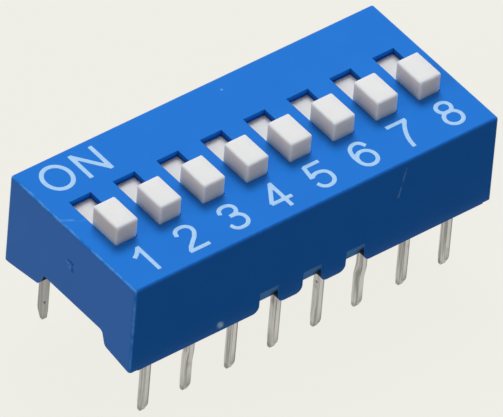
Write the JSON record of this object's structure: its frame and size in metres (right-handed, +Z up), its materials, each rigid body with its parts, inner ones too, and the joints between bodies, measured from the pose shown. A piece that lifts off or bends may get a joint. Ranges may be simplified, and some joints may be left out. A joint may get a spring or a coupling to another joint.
{
  "type": "dip switch",
  "caption": "Dual in-line slide switch: flat blue moulded body, a row of white slider knobs in slots, and two rows of straight flat pins.",
  "frame": {"origin": "centre of the pin pattern at the board surface, level with the lower edge of the cover", "axes": "+X along the row of switches from the first to the last, +Y towards the ON side, +Z up out of the board"},
  "size_m": [0.0212, 0.0094, 0.0102],
  "materials": {
    "cover_plastic": "satin blue moulding",
    "base_plastic": "satin black moulding",
    "slider_plastic": "satin white moulding",
    "terminal_tin": "dull tin plate",
    "clip_bronze": "bright rolled strip"
  },
  "bodies": {
    "housing": {"cover": "cover_plastic", "base": "base_plastic", "terminal_front_1": "terminal_tin", "terminal_back_1": "terminal_tin", "terminal_front_2": "terminal_tin", "terminal_back_2": "terminal_tin", "terminal_front_3": "terminal_tin", "terminal_back_3": "terminal_tin", "terminal_front_4": "terminal_tin", "terminal_back_4": "terminal_tin", "terminal_front_5": "terminal_tin", "terminal_back_5": "terminal_tin", "terminal_front_6": "terminal_tin", "terminal_back_6": "terminal_tin", "terminal_front_7": "terminal_tin", "terminal_back_7": "terminal_tin", "terminal_front_8": "terminal_tin", "terminal_back_8": "terminal_tin"},
    "slide_1": {"slider_1": "slider_plastic", "clip_1": "clip_bronze"},
    "slide_2": {"slider_2": "slider_plastic", "clip_2": "clip_bronze"},
    "slide_3": {"slider_3": "slider_plastic", "clip_3": "clip_bronze"},
    "slide_4": {"slider_4": "slider_plastic", "clip_4": "clip_bronze"},
    "slide_5": {"slider_5": "slider_plastic", "clip_5": "clip_bronze"},
    "slide_6": {"slider_6": "slider_plastic", "clip_6": "clip_bronze"},
    "slide_7": {"slider_7": "slider_plastic", "clip_7": "clip_bronze"},
    "slide_8": {"slider_8": "slider_plastic", "clip_8": "clip_bronze"}
  },
  "joints": [
    {"name": "switch_1", "type": "slide", "parent": "housing", "child": "slide_1", "axis": [0, 1, 0], "range_m": [0, 0.00168]},
    {"name": "switch_2", "type": "slide", "parent": "housing", "child": "slide_2", "axis": [0, 1, 0], "range_m": [0, 0.00168]},
    {"name": "switch_3", "type": "slide", "parent": "housing", "child": "slide_3", "axis": [0, 1, 0], "range_m": [0, 0.00168]},
    {"name": "switch_4", "type": "slide", "parent": "housing", "child": "slide_4", "axis": [0, 1, 0], "range_m": [0, 0.00168]},
    {"name": "switch_5", "type": "slide", "parent": "housing", "child": "slide_5", "axis": [0, 1, 0], "range_m": [0, 0.00168]},
    {"name": "switch_6", "type": "slide", "parent": "housing", "child": "slide_6", "axis": [0, 1, 0], "range_m": [0, 0.00168]},
    {"name": "switch_7", "type": "slide", "parent": "housing", "child": "slide_7", "axis": [0, 1, 0], "range_m": [0, 0.00168]},
    {"name": "switch_8", "type": "slide", "parent": "housing", "child": "slide_8", "axis": [0, 1, 0], "range_m": [0, 0.00168]}
  ]
}
